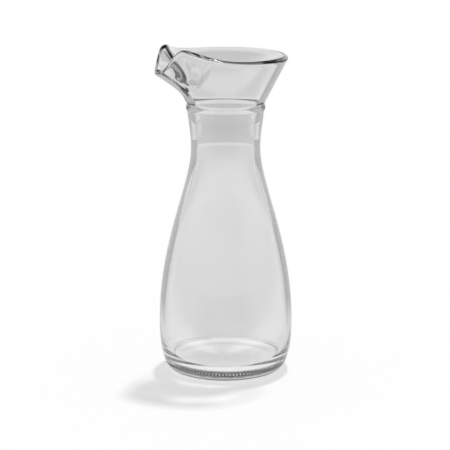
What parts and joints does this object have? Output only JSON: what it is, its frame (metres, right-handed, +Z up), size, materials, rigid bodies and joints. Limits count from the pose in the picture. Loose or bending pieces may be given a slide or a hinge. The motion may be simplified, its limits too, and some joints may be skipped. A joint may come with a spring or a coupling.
{
  "type": "glass carafe",
  "caption": "Clear glass carafe with a round belly, a slim neck with a raised ring, and a flared mouth drawn out into a pouring spout between two pressed dents.",
  "frame": {"origin": "middle of the footprint, on the surface the carafe stands on; the body's axis is 2.45 mm from it towards +X, because the spout reaches past the belly", "axes": "+Z up along the body's axis; the spout points along -X; the carafe is the same on both sides of the XZ plane"},
  "size_m": [0.0889, 0.084, 0.2076],
  "materials": {
    "clear_glass": "clear, fire polished, smooth inside and out"
  },
  "bodies": {
    "root": {"carafe_glass": "clear_glass"}
  },
  "joints": []
}
